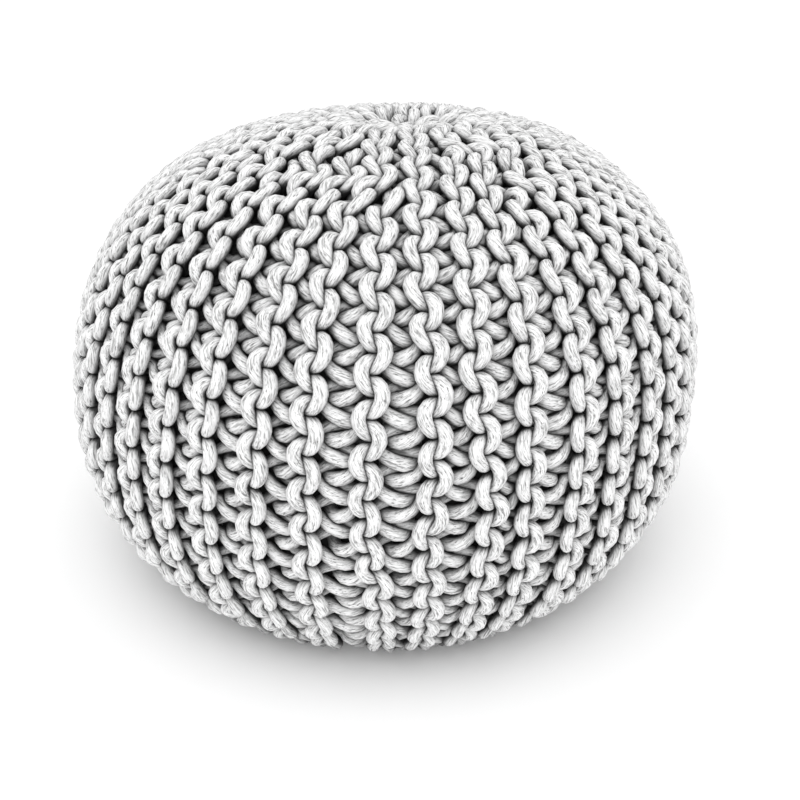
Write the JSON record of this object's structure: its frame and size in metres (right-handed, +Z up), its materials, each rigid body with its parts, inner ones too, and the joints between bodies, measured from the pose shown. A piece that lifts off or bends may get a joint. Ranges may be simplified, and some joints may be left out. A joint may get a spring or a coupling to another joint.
{
  "type": "knitted pouf",
  "caption": "Round floor pouf: a filled body in a thick cotton-cord knit, with ridges running from the gathered top to the flat underside, for a footrest or low seat.",
  "frame": {"origin": "middle of the flat spot that the pouf rests on, at floor level", "axes": "+Z up through the gathered top, -Y towards the front"},
  "size_m": [0.5074, 0.5074, 0.3555],
  "materials": {
    "cotton_cord": "matt knitted cotton cord"
  },
  "bodies": {
    "root": {"knitted_pouf": "cotton_cord"}
  },
  "joints": []
}
